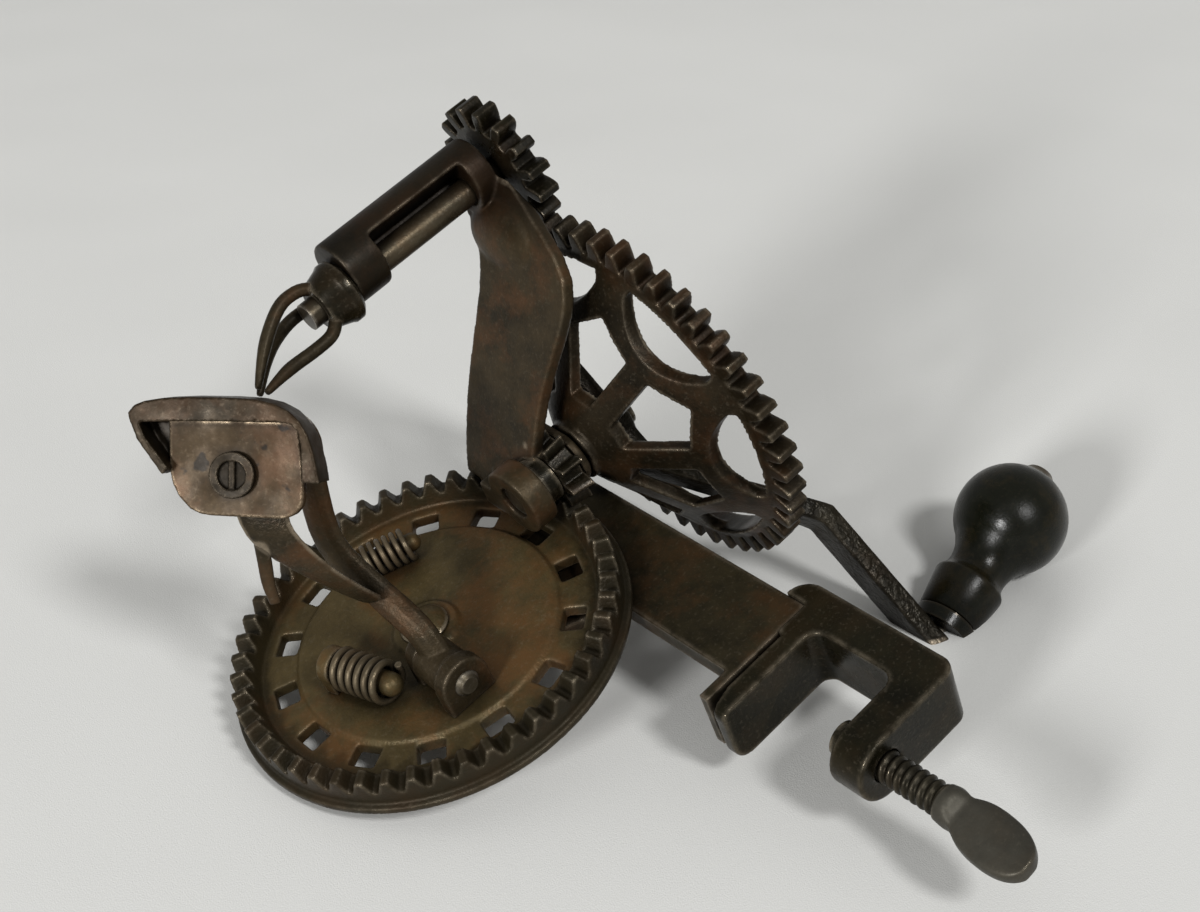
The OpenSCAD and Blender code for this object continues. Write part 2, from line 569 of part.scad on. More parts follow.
// A curved blade behind the plate, its edge towards the fruit
module knife_blade() color(steel) place() head() translate([-14, -8, -1.5]) rotate([-90, 0, 0]) linear_extrude(15.6)
    difference() {
        translate([10, 10]) circle(r = 10);
        translate([10, 10]) circle(r = 10 - blade_t);
        translate([10, -5]) square([30, 40]);
        translate([-10, 10]) square([60, 30]);
    }
module knife_brace() color(iron) place() {
    p = curve([[-20.8, 4.4, 76], [-24, 0.2, 67.8], [-21.5, -4.5, 56.4], [-16, -6.8, 43], [-11.5, -7.5, 34]], 4);
    n = len(p);
    skin(sweep(p, [0.62, -0.757, -0.206], even([8, 6.4, 5, 4], n), even([1.3, 1.3, 1.3], n), 8));
}
module knife_hook() color(steel) place() {
    p = curve([[-26.5, 2.6, 66], [-28.9, 2.3, 59], [-31.1, 1.4, 53.6], [-32.5, -0.4, 48.7]], 4);
    n = len(p);
    skin(sweep(p, [0.62, -0.757, -0.206], even([2.3, 2.1, 1.7], n), even([0.9, 0.9, 0.9], n), 8));
}

// Springs on their studs
stud1_h = mid_h + spring1_r + wire1_r + 0.5;
stud2_h = mid_h + spring2_r + wire2_r + 0.5;
stud1_a = -25.5;
stud1_b = 4.5;
stud1_deg = 15.5;
stud2_a = 2;
stud2_b = 31;
stud2_deg = -24;
lug_t = 4;
function coil(r, wire, turns, pitch) = concat([[r, -2 * wire, 0]],
    [for (i = [0:8 * turns]) [r * cos(45 * i), r * sin(45 * i), pitch * i / 8]],
    [[r, 2 * wire, pitch * turns]]);
module helix(r, wire, turns, pitch) {
    p = coil(r, wire, turns, pitch);
    k = [for (i = p) wire];
    skin(sweep(p, [0, 0, 1], k, k, 6));
}
// Closest the wire comes to itself, over a full turn
function self_gap(r, wire, turns, pitch) = let (p = coil(r, wire, turns, pitch), n = len(p))
    min([for (i = [0:n - 8], j = [i + 7:min(i + 10, n - 1)]) norm(p[i] - p[j])]) - 2 * wire;
echo(self_gap_lower = self_gap(spring1_r, wire1_r, turns1, pitch1));
echo(self_gap_upper = self_gap(spring2_r, wire2_r, turns2, pitch2));
module at_stud1() translate([stud1_a, stud1_b, stud1_h]) rotate([90, 0, stud1_deg]) children();
module at_stud2() translate([stud2_a, stud2_b, stud2_h]) rotate([0, 0, stud2_deg]) rotate([0, 90, 0]) children();
module stud(len, r) {
    translate([0, 0, -lug_t]) cylinder(r = r + 2, h = lug_t);
    cylinder(r = r, h = len);
    translate([0, 0, len]) sphere(r = r);
}
module spring_stud_lower() color(iron) place() difference() {
    union() {
        at_stud1() stud(turns1 * pitch1 + 2, spring1_r - wire1_r - 0.8);
        translate([stud1_a, stud1_b, mid_h]) rotate([0, 0, stud1_deg]) translate([-5, 0, 0]) cube([10, lug_t, stud1_h - mid_h]);
    }
    translate([-60, -60, mid_h - 20]) cube([120, 120, 20]);
}
module spring_stud_upper() color(iron) place() difference() {
    union() {
        at_stud2() stud(turns2 * pitch2 + 2, spring2_r - wire2_r - 0.8);
        translate([stud2_a, stud2_b, mid_h]) rotate([0, 0, stud2_deg]) translate([-lug_t, -4, 0])
            cube([lug_t, 8, stud2_h - mid_h]);
    }
    translate([-60, -60, mid_h - 20]) cube([120, 120, 20]);
}
module spring_lower() color(steel) place() at_stud1() translate([0, 0, wire1_r + 0.3])
    helix(spring1_r, wire1_r, turns1, pitch1);
module spring_upper() color(steel) place() at_stud2() translate([0, 0, wire2_r + 0.3])
    helix(spring2_r, wire2_r, turns2, pitch2);

// The clamp screw hangs under its pad; at rest the pad's face is pad_gap under the jaw
module under_jaw(z) place() translate([clamp_a, -jaw_drop - z, clamp_h]) rotate([90, 0, 0]) children();
module screw_pad() color(dark) under_jaw(pad_gap) difference() {
    union() {
        cylinder(r = pad_r, h = pad_t - 1);
        translate([0, 0, pad_t - 1]) cylinder(r1 = pad_r, r2 = pad_r - 1.5, h = 1);
    }
    translate([0, 0, pad_t - 2.5]) cylinder(r = screw_r - 1.5 + run, h = 5);
}
screw_len = throat - pad_gap + lower_t + 16;
module clamp_screw() color(steel) under_jaw(pad_gap) {
    translate([0, 0, pad_t - 2.5 + clear]) cylinder(r = screw_r - 1.5, h = 3);
    translate([0, 0, pad_t + clear]) cylinder(r = screw_r, h = screw_len - pad_t - clear);
}
// Half width of the wing at its neck, and how far its round end stands to one side
wing_neck = 4.8;
wing_off = 1.5;
module screw_wing() color(dark) under_jaw(pad_gap + screw_len) rotate([0, 0, 4]) {
    cylinder(r1 = screw_r, r2 = screw_r + 1, h = 5);
    translate([0, 2.5, 5]) rotate([90, 0, 0]) linear_extrude(5) union() {
        translate([-wing_off, wing_len - 5 - wing_r]) circle(r = wing_r);
        translate([0, wing_neck - 2]) circle(r = wing_neck);
        polygon([[-wing_neck, wing_neck - 2], [wing_neck, wing_neck - 2],
            [wing_r - wing_off, wing_len - 5 - wing_r], [-wing_r - wing_off, wing_len - 5 - wing_r]]);
    }
}

frame_plate();
clamp_frame();
clamp_boss();
post_casting();
fork_barrel();
pivot_stud();
crank_shaft();
shaft_collar();
drive_wheel();
bevel_pinion();
crank_arm();
handle_stud();
handle_ferrule();
handle_knob();
fork_spindle();
fork_pinion();
fork_collar();
prong_upper();
prong_front();
prong_lower();
turntable();
hinge_ears();
hinge_pin();
spring_stud_lower();
spring_stud_upper();
spring_lower();
spring_upper();
knife_arm();
knife_guard();
knife_plate();
blade_screw();
knife_blade();
knife_brace();
knife_hook();
screw_pad();
clamp_screw();
screw_wing();
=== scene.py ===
"""Looks for a clamp-on apple peeler: worn iron, dull steel and a black knob, on a pale cloth."""

import json
import math

import bpy
from mathutils import Matrix, Vector


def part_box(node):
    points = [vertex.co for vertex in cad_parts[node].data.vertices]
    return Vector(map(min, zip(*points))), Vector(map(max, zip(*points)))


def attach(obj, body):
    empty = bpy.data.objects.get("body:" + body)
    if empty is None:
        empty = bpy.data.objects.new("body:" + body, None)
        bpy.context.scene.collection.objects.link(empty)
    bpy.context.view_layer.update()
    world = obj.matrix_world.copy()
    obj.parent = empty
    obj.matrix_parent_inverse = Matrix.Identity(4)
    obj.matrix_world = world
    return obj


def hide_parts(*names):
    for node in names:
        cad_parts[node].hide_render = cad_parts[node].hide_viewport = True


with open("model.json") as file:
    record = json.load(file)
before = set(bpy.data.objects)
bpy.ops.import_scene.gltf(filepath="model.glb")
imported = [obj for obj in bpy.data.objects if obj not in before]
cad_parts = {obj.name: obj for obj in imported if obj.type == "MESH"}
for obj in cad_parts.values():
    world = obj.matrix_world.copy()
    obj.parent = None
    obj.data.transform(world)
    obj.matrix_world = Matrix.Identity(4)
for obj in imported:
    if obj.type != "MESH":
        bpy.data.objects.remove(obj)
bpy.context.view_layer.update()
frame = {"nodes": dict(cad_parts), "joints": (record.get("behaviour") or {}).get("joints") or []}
nodes = frame["nodes"]
scene = bpy.context.scene
MM = 0.001

# The photograph's camera: its right, down and forward directions, where it stands, and its lens
RIGHT = Vector((0.70659, 0.28766, -0.64651))
DOWN = Vector((-0.61990, 0.69223, -0.36951))
FORWARD = Vector((0.34124, 0.66187, 0.66745))
CAMERA_AT = Vector((-172.09, -402.40, -295.51)) * MM
LENS = 60.0
SENSOR = 36.0
CLIP_START = 0.01

# The middle of the turntable's flange
TABLE_AT = Vector((-46.5, -11.0, 88.0)) * MM


def at(a, b, h):
    """A point given across, up and out from the turntable's middle, in millimetres."""
    return TABLE_AT + Vector((a, -h, b)) * MM


# Shader nodes

# The mix node's sockets for colours
MIX_FACTOR = 0
MIX_FIRST = 6
MIX_SECOND = 7
MIX_RESULT = 2

# Detail and roughness of a noise where nothing else is said, and samples of the nodes that look around
NOISE_DETAIL = 4.0
NOISE_ROUGH = 0.55
NEAR_SAMPLES = 6
BEVEL_SAMPLES = 4


class Tree:
    """A short way to write shader nodes."""

    def __init__(self, name):
        self.mat = bpy.data.materials.new(name)
        self.mat.use_nodes = True
        self.tree = self.mat.node_tree
        self.tree.nodes.clear()
        self.out = self.tree.nodes.new("ShaderNodeOutputMaterial")

    def add(self, kind, values=None, **settings):
        """A node with its settings, and with values or links on its inputs."""
        node = self.tree.nodes.new(kind)
        for key, value in settings.items():
            setattr(node, key, value)
        for key, value in (values or {}).items():
            self.put(node.inputs[key], value)
        return node

    def put(self, socket, value):
        """Links a socket to another one, or sets its value."""
        if isinstance(value, bpy.types.NodeSocket):
            self.tree.links.new(value, socket)
        else:
            socket.default_value = value

    def place(self):
        return self.add("ShaderNodeTexCoord").outputs["Object"]

    def noise(self, scale, detail=NOISE_DETAIL, rough=NOISE_ROUGH):
        values = {"Vector": self.place(), "Scale": scale, "Detail": detail, "Roughness": rough}
        return self.add("ShaderNodeTexNoise", values).outputs["Fac"]

    def remap(self, value, start, end, low=0.0, high=1.0):
        values = {"Value": value, "From Min": start, "From Max": end, "To Min": low, "To Max": high}
        return self.add("ShaderNodeMapRange", values, clamp=True).outputs["Result"]

    def marks(self, kind, low=0.0, high=1.0):
        """Noise of a kind that is listed below, spread from low to high."""
        scale, detail, rough, start, end = kind
        return self.remap(self.noise(scale, detail, rough), start, end, low, high)

    def mix(self, factor, first, second):
        node = self.add("ShaderNodeMix", data_type="RGBA")
        self.put(node.inputs[MIX_FACTOR], factor)
        self.put(node.inputs[MIX_FIRST], first)
        self.put(node.inputs[MIX_SECOND], second)
        return node.outputs[MIX_RESULT]

    def math(self, operation, first, second):
        node = self.add("ShaderNodeMath", operation=operation)
        self.put(node.inputs[0], first)
        self.put(node.inputs[1], second)
        return node.outputs[0]

    def bump(self, height, strength, distance, normal=None):
        values = {"Height": height, "Strength": strength, "Distance": distance}
        if normal is not None:
            values["Normal"] = normal
        return self.add("ShaderNodeBump", values).outputs["Normal"]

    def from_axis(self):
        """How far a point lies from the turntable's axis."""
        flat = self.add("ShaderNodeVectorMath", operation="MULTIPLY_ADD")
        self.put(flat.inputs[0], self.place())
        self.put(flat.inputs[1], (1.0, 0.0, 1.0))
        self.put(flat.inputs[2], (-TABLE_AT.x, 0.0, -TABLE_AT.z))
        length = self.add("ShaderNodeVectorMath", operation="LENGTH")
        self.put(length.inputs[0], flat.outputs["Vector"])
        return length.outputs["Value"]

    def near(self, distance, inside=False):
        """How open the surface is within this distance: outside it shows corners, inside it shows edges."""
        node = self.add("ShaderNodeAmbientOcclusion", samples=NEAR_SAMPLES, inside=inside)
        self.put(node.inputs["Distance"], distance)
        return node.outputs["AO"]


def rgb(r, g, b):
    return (r, g, b, 1.0)


# Metals

# Kinds of marks: a noise's scale, detail and roughness, and the stretch of it that counts
BROAD = (26.0, 3.0, 0.50, 0.38, 0.62)
STAIN = (47.0, 7.0, 0.68, 0.47, 0.63)
PATCH = (120.0, 5.0, 0.65, 0.36, 0.64)
SPOT = (130.0, 3.0, 0.60, 0.60, 0.65)
DULL = (140.0, NOISE_DETAIL, NOISE_ROUGH, 0.30, 0.70)
SCUFF = (210.0, NOISE_DETAIL, NOISE_ROUGH, 0.38, 0.58)
PIT = (420.0, 2.0, 0.50, 0.40, 0.62)
FINE = (620.0, 4.0, 0.70, 0.34, 0.66)
FLECK = (900.0, 3.0, 0.60, 0.56, 0.72)

# The shares of three kinds in a metal's tone, and the most that flecks show
TONES = ((BROAD, 0.45), (PATCH, 0.38), (FINE, 0.17))
FLECK_MOST = 0.09

# Grime and painted shade in the corners and between parts: its colour, how far it looks around, and how
# much shows from open to closed
GRIME_AND_SHADE = rgb(0.004, 0.003, 0.0018)
SHADE_AND_GRIME_REACH = 0.009
SHADE_AND_GRIME_SPAN = (0.35, 0.95, 0.75, 0.0)

# Grime on a toothed rim, and painted shade on one side of a casting: the rim's colour and how much of each
# shows
RIM_GRIME = rgb(0.013, 0.0105, 0.0056)
RIM_MOST = 0.85
SHADE_MOST = 0.75

# Rubbed edges: where they start and end, the least that scuffs leave, their gain in gloss, and their metal
EDGE_SPAN = (0.86, 0.45)
SCUFF_LEAST = 0.12
RUB_GLOSS = 0.18
RUB_METAL = 0.9

# Roughness below and above a metal's own, and the skin's rounding, grain and depth in metres
DULL_BELOW = 0.10
DULL_ABOVE = 0.12
ROUNDING = 0.0005
GRAIN_SCALE = 1300.0
GRAIN_DETAIL = 3.0
SKIN_DEPTH = 0.0006


def metal(name, deep, mid, rust, worn, rough, metallic, rusty=0.5, rubbed=1.0, grain=0.10, pits=0.0,
          spec=0.22, edge=0.0012, spots=0.0, painted_shade_depths=None, rim=None):
    """Dark metal with broad tones, rust, flecks, grime and painted shade in its corners, and rubbed edges.
    """
    t = Tree(name)
    tone = 0.0
    for kind, share in TONES:
        tone = t.math("ADD", tone, t.marks(kind, 0.0, share))
    colour = t.mix(tone, deep, mid)
    colour = t.mix(t.marks(STAIN, 0.0, rusty), colour, rust)
    colour = t.mix(t.marks(FLECK, 0.0, FLECK_MOST), colour, worn)
    # Painted shade with grime: corners and gaps between parts are darkened where the surface is closed in,
    # as occlusion would shade them
    colour = t.mix(t.remap(t.near(SHADE_AND_GRIME_REACH), *SHADE_AND_GRIME_SPAN), colour, GRIME_AND_SHADE)
    if spots:
        colour = t.mix(t.marks(SPOT, 0.0, spots), colour, GRIME_AND_SHADE)
    if rim:
        colour = t.mix(t.remap(t.from_axis(), *rim, 0.0, RIM_MOST), colour, RIM_GRIME)
    # Painted shade: the casting is darkened towards its barrel along the depth axis
    if painted_shade_depths:
        depth = t.add("ShaderNodeSeparateXYZ", {"Vector": t.place()}).outputs["Y"]
        colour = t.mix(t.remap(depth, *painted_shade_depths, 0.0, SHADE_MOST), colour, GRIME_AND_SHADE)
    turned = t.remap(t.near(edge, True), *EDGE_SPAN)
    rub = t.math("MULTIPLY", turned, t.marks(SCUFF, SCUFF_LEAST, rubbed))
    dull = t.marks(DULL, rough - DULL_BELOW, rough + DULL_ABOVE)
    rounded = t.add("ShaderNodeBevel", {"Radius": ROUNDING}, samples=BEVEL_SAMPLES).outputs["Normal"]
    grained = t.bump(t.noise(GRAIN_SCALE, GRAIN_DETAIL), grain, SKIN_DEPTH, rounded)
    shader = t.add("ShaderNodeBsdfPrincipled", {
        "Base Color": t.mix(rub, colour, worn),
        "Metallic": t.math("ADD", t.math("MULTIPLY", rub, RUB_METAL - metallic), metallic),
        "Roughness": t.math("SUBTRACT", dull, t.math("MULTIPLY", rub, RUB_GLOSS)),
        "Specular IOR Level": spec,
        "Normal": t.bump(t.marks(PIT), pits, SKIN_DEPTH, grained),
    })
    t.put(t.out.inputs["Surface"], shader.outputs["BSDF"])
    return t.mat


WORN = rgb(0.30, 0.25, 0.18)
WORN_BROWN = rgb(0.26, 0.21, 0.15)
WORN_DULL = rgb(0.25, 0.205, 0.15)

IRON = metal("cast_iron", rgb(0.0065, 0.0052, 0.0028), rgb(0.030, 0.021, 0.0108),
             rust=rgb(0.052, 0.024, 0.010), worn=WORN,
             rough=0.37, metallic=0.50, rusty=0.6, grain=0.16, spec=0.16)
BROWN = metal("brown_iron", rgb(0.028, 0.022, 0.0100), rgb(0.092, 0.066, 0.027),
              rust=rgb(0.118, 0.056, 0.019), worn=WORN,
              rough=0.42, metallic=0.40, rusty=0.75, grain=0.25, spec=0.18, rim=(0.0465, 0.0515))
UMBER = metal("umber_iron", rgb(0.015, 0.0118, 0.0064), rgb(0.054, 0.038, 0.0190),
              rust=rgb(0.076, 0.036, 0.0145), worn=WORN_BROWN,
              rough=0.42, metallic=0.45, rusty=0.7, grain=0.30, spec=0.17)
THIN = metal("thin_iron", rgb(0.0135, 0.0105, 0.0056), rgb(0.050, 0.036, 0.0180),
             rust=rgb(0.066, 0.032, 0.013), worn=WORN_DULL,
             rough=0.44, metallic=0.45, rusty=0.6, rubbed=0.3, spec=0.16, edge=0.0006)
POST = metal("post_iron", rgb(0.0145, 0.0115, 0.0062), rgb(0.056, 0.039, 0.0190),
             rust=rgb(0.082, 0.038, 0.0155), worn=WORN_BROWN,
             rough=0.42, metallic=0.45, rusty=0.7, spec=0.16, painted_shade_depths=(-0.089, -0.098))
PLATE = metal("plate_iron", rgb(0.010, 0.0085, 0.0046), rgb(0.040, 0.031, 0.0150),
              rust=rgb(0.056, 0.028, 0.011), worn=WORN_DULL,
              rough=0.42, metallic=0.45, rusty=0.7, spec=0.18, edge=0.0018)
BRONZED = metal("bronzed_iron", rgb(0.0080, 0.0056, 0.0027), rgb(0.0255, 0.0168, 0.0076),
                rust=rgb(0.034, 0.016, 0.006), worn=rgb(0.27, 0.22, 0.16),
                rough=0.42, metallic=0.45, rubbed=0.8, spec=0.15, edge=0.0007)
PALE = metal("pale_iron", rgb(0.026, 0.0165, 0.0078), rgb(0.068, 0.0440, 0.0205),
             rust=rgb(0.062, 0.028, 0.011), worn=rgb(0.32, 0.25, 0.17),
             rough=0.46, metallic=0.35, rusty=0.6, spec=0.16, spots=0.8)
DARK = metal("dark_iron", rgb(0.0042, 0.0037, 0.0019), rgb(0.0165, 0.0142, 0.0066),
             rust=rgb(0.026, 0.0150, 0.0062), worn=WORN,
             rough=0.26, metallic=0.40, rusty=0.4, spec=0.16, edge=0.0018)
GEAR = metal("gear_iron", rgb(0.0040, 0.0034, 0.0018), rgb(0.0155, 0.0125, 0.0062),
             rust=rgb(0.030, 0.0155, 0.0066), worn=rgb(0.28, 0.23, 0.165),
             rough=0.31, metallic=0.40, spec=0.16, edge=0.0008)
FORGED = metal("forged_iron", rgb(0.0045, 0.0038, 0.0022), rgb(0.0180, 0.0145, 0.0080),
               rust=rgb(0.028, 0.016, 0.0078), worn=rgb(0.24, 0.20, 0.15),
               rough=0.36, metallic=0.45, rusty=0.4, rubbed=0.6, pits=0.25, spec=0.15)
STEEL = metal("dull_steel", rgb(0.036, 0.029, 0.019), rgb(0.105, 0.086, 0.055),
              rust=rgb(0.070, 0.042, 0.021), worn=rgb(0.40, 0.36, 0.30),
              rough=0.36, metallic=0.70, rubbed=0.6)
SPRING = metal("spring_steel", rgb(0.046, 0.035, 0.020), rgb(0.125, 0.098, 0.060),
               rust=rgb(0.095, 0.054, 0.024), worn=WORN,
               rough=0.40, metallic=0.55, rubbed=0.4)
THREAD_STEEL = metal("dark_steel", rgb(0.009, 0.0078, 0.005), rgb(0.036, 0.031, 0.0200),
                     rust=rgb(0.036, 0.021, 0.010), worn=rgb(0.20, 0.17, 0.125),
                     rough=0.36, metallic=0.65, rusty=0.4, rubbed=0.8, spec=0.16)
GREY = metal("grey_steel", rgb(0.030, 0.028, 0.022), rgb(0.068, 0.063, 0.050),
             rust=rgb(0.054, 0.041, 0.027), worn=rgb(0.20, 0.175, 0.13),
             rough=0.42, metallic=0.45, rusty=0.35, spec=0.18)
BLACK = metal("black_paint", rgb(0.0016, 0.0018, 0.0009), rgb(0.0064, 0.0068, 0.0032),
              rust=rgb(0.026, 0.0175, 0.0062), worn=rgb(0.062, 0.046, 0.028),
              rough=0.27, metallic=0.0, rusty=0.55, rubbed=0.5, spec=0.19)

FINISH = {
    "frame_plate": PLATE, "clamp_frame": DARK, "clamp_boss": DARK, "post_casting": POST,
    "fork_barrel": POST, "pivot_stud": BROWN,
    "crank_shaft": STEEL, "shaft_collar": DARK, "drive_wheel": IRON, "bevel_pinion": GEAR,
    "crank_arm": FORGED, "handle_stud": STEEL, "handle_ferrule": BLACK, "handle_knob": BLACK,
    "fork_spindle": STEEL, "fork_pinion": GEAR, "fork_collar": DARK,
    "prong_upper": THIN, "prong_front": THIN, "prong_lower": THIN,
    "turntable": BROWN, "hinge_ears": UMBER, "hinge_pin": STEEL, "spring_stud_lower": BROWN,
    "spring_stud_upper": BROWN, "spring_lower": SPRING, "spring_upper": SPRING,
    "knife_arm": UMBER, "knife_guard": BRONZED, "knife_plate": PALE, "blade_screw": BRONZED,
    "knife_blade": STEEL, "knife_brace": UMBER, "knife_hook": THIN,
    "screw_pad": DARK, "clamp_screw": THREAD_STEEL, "screw_wing": GREY,
}

# Cast and forged pieces: voxel size in millimetres, passes of smoothing and the share of faces kept
CAST = {
    "turntable": (0.42, 4, 0.22), "drive_wheel": (0.42, 4, 0.22), "frame_plate": (0.50, 5, 0.16),
    "crank_arm": (0.45, 22, 0.22), "knife_guard": (0.35, 5, 0.25), "knife_plate": (0.35, 4, 0.22),
    "hinge_ears": (0.35, 5, 0.30), "fork_pinion": (0.32, 4, 0.25), "bevel_pinion": (0.25, 5, 0.30),
    "blade_screw": (0.22, 3, 0.30), "knife_arm": (0.40, 6, 0.30),
    "spring_stud_lower": (0.35, 4, 0.30), "spring_stud_upper": (0.35, 4, 0.30),
}
CLAMP_CAST = (0.45, 9, 0.25)
POST_CAST = (0.45, 14, 0.22)
SMOOTHING = 0.5

# Bent rods that are rounded once more, and the angles in degrees over which an edge stays sharp
SOFT = ("prong_upper", "prong_front", "prong_lower", "knife_brace", "knife_hook")
SHARP = 32.0
SOFT_SHARP = 70.0
PIECE_SHARP = 50.0
WELD = 0.00001


def cast_edges(obj, voxel, passes, share):
    """Rounds every edge of a solid a little, as casting and wear do."""
    remesh = obj.modifiers.new("cast", "REMESH")
    remesh.mode = "VOXEL"
    remesh.voxel_size = voxel * MM
    remesh.use_smooth_shade = True
    smooth = obj.modifiers.new("worn", "SMOOTH")
    smooth.factor = SMOOTHING
    smooth.iterations = passes
    fewer = obj.modifiers.new("fewer", "DECIMATE")
    fewer.ratio = share


def split_edges(obj, degrees):
    """Keeps the edges sharp that turn by more than this angle."""
    split = obj.modifiers.new("split", "EDGE_SPLIT")
    split.split_angle = math.radians(degrees)


for name, obj in nodes.items():
    mesh = obj.data
    for extra in [a.name for a in mesh.attributes if a.name == "custom_normal"]:
        mesh.attributes.remove(mesh.attributes[extra])
    mesh.polygons.foreach_set("use_smooth", [True] * len(mesh.polygons))
    mesh.materials.clear()
    mesh.materials.append(FINISH[name])
    weld = obj.modifiers.new("weld", "WELD")
    weld.merge_threshold = WELD
    if name in CAST:
        cast_edges(obj, *CAST[name])
    elif name in SOFT:
        soft = obj.modifiers.new("soft", "SUBSURF")
        soft.levels = 1
        soft.render_levels = 1
        split_edges(obj, SOFT_SHARP)
    else:
        split_edges(obj, SHARP)


# Forms


def piece(name, form, mat, body, slot, *stands_for, cast=None):
    """A new piece in the part's frame that rides on a body and stands for solids."""
    verts, faces = form
    mesh = bpy.data.meshes.new(name)
    mesh.from_pydata([tuple(v) for v in verts], [], faces)
    mesh.polygons.foreach_set("use_smooth", [True] * len(mesh.polygons))
    mesh.materials.append(mat)
    obj = bpy.data.objects.new(name, mesh)
    scene.collection.objects.link(obj)
    if cast:
        cast_edges(obj, *cast)
    else:
        split_edges(obj, PIECE_SHARP)
    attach(obj, body)
    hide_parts(*stands_for)


def circle(count):
    """The cosine and sine of each of so many equal steps around."""
    return [(math.cos(math.tau * j / count), math.sin(math.tau * j / count)) for j in range(count)]


def skin(rings, joined=False):
    """Vertices and faces of a skin through rings of points, with its ends closed or joined together."""
    rows = len(rings)
    count = len(rings[0])
    verts = [p for ring in rings for p in ring]
    faces = []
    for i in range(rows if joined else rows - 1):
        low = i * count
        high = (i + 1) % rows * count
        for j in range(count):
            k = (j + 1) % count
            faces.append((low + j, low + k, high + k, high + j))
    if not joined:
        faces.append(tuple(range(count - 1, -1, -1)))
        faces.append(tuple((rows - 1) * count + j for j in range(count)))
    return verts, faces


def tube(points, radius, sides=12):
    """Rings of a round tube along points."""
    rings = []
    normal = None
    for i, p in enumerate(points):
        along = (points[min(i + 1, len(points) - 1)] - points[max(i - 1, 0)]).normalized()
        if normal is None:
            normal = along.orthogonal().normalized()
        normal = (normal - along * normal.dot(along)).normalized()
        other = along.cross(normal)
        rings.append([p + (normal * c + other * s) * radius for c, s in circle(sides)])
    return rings


def block(outline, lift, place):
    """Vertices and faces of an outline lifted from one height to another, put in place by a function."""
    count = len(outline)
    verts = [place(x, y, z) for z in lift for x, y in outline]
    faces = [tuple(range(count - 1, -1, -1)), tuple(range(count, 2 * count))]
    faces += [(i, (i + 1) % count, count + (i + 1) % count, count + i) for i in range(count)]
    return verts, faces


def curve(points, steps=6):
    """Points along a smooth curve that passes through the given ones."""
    ends = [points[0]] + list(points) + [points[-1]]
    out = []
    for p, q, r, s in zip(ends, ends[1:], ends[2:], ends[3:]):
        for i in range(steps):
            t = i / steps
            out.append(tuple(0.5 * (2 * b + (c - a) * t + (2 * a - 5 * b + 4 * c - d) * t ** 2
                                    + (3 * b - a - 3 * c + d) * t ** 3) for a, b, c, d in zip(p, q, r, s)))
    return out + [tuple(points[-1])]


def casting(name, names, extra, mat, cast):
    """One casting from several solids and some extra closed forms, with every edge and corner rounded."""
    forms = []
    for node in names:
        mesh = nodes[node].data
        forms.append(([v.co.copy() for v in mesh.vertices], [tuple(f.vertices) for f in mesh.polygons]))
    verts = []
    faces = []
    for points, around in forms + extra:
        base = len(verts)
        verts += points
        faces += [tuple(base + i for i in face) for face in around]
    piece(name, (verts, faces), mat, "frame", "cast_iron", *names, cast=cast)


# The clamp's frame and its screw boss are one casting with a square outer corner
CLAMP_SIDE = 76.0
CLAMP_LOW = -127.0
CLAMP_LIFT = (-21.0, -1.0)
CORNER = 10.5
CORNER_R = 4.5
CORNER_STEPS = 6
corner = [(CLAMP_SIDE - CORNER, CLAMP_LOW)]
for i in range(CORNER_STEPS + 1):
    turn = math.radians(90 * i / CORNER_STEPS - 90)
    corner.append((CLAMP_SIDE - CORNER_R + CORNER_R * math.cos(turn),
                   CLAMP_LOW + CORNER_R + CORNER_R * math.sin(turn)))
corner += [(CLAMP_SIDE, CLAMP_LOW + CORNER), (CLAMP_SIDE - CORNER, CLAMP_LOW + CORNER)]
casting("clamp_casting", ("clamp_frame", "clamp_boss"), [block(corner, CLAMP_LIFT, at)], DARK, CLAMP_CAST)

# The post and the spindle's barrel are one casting
# The post's strap has smooth sides and swells below the barrel
POST_A = 34.3
LEAN = 0.583
POST_T = 4.0
POST_RUN = math.hypot(1.0, LEAN)


def on_post(b, v, w):
    """A point given across, along and through the leaning post."""
    return at(POST_A + (LEAN * v + w) / POST_RUN, b, (v - LEAN * w) / POST_RUN)


LEFT_SIDE = [(28.4, 18), (30.2, 26), (31.4, 40), (31.2, 54), (30.4, 68), (30.6, 77), (32.4, 84),
             (36.5, 90.5), (42, 95)]
RIGHT_SIDE = [(8, 96), (2.4, 92.6), (-2.6, 88.2), (-5.6, 83.2), (-6.3, 78), (-5.3, 70.5), (-3.4, 62.5),
              (-1.4, 54), (-0.3, 45), (0, 33), (1.8, 18)]
SWELL_AT = (23.0, 90.5, 0.8)
SWELL_R = (14.0, 9.0, 2.9)
SWELL_ROWS = 14
SWELL_SIDES = 24


def swell_ring(tilt):
    """A ring of the swelling, at this angle from its end."""
    v = SWELL_AT[1] + SWELL_R[1] * math.cos(tilt)
    ring = []
    for c, s in circle(SWELL_SIDES):
        b = SWELL_AT[0] + SWELL_R[0] * math.sin(tilt) * c
        w = SWELL_AT[2] + SWELL_R[2] * math.sin(tilt) * s
        ring.append(on_post(b, v, w))
    return ring


strap = block(curve(LEFT_SIDE) + curve(RIGHT_SIDE), (0.0, POST_T), on_post)
swell = skin([swell_ring(math.pi * i / SWELL_ROWS) for i in range(1, SWELL_ROWS)])
casting("post_and_barrel", ("post_casting", "fork_barrel"), [strap, swell], POST, POST_CAST)

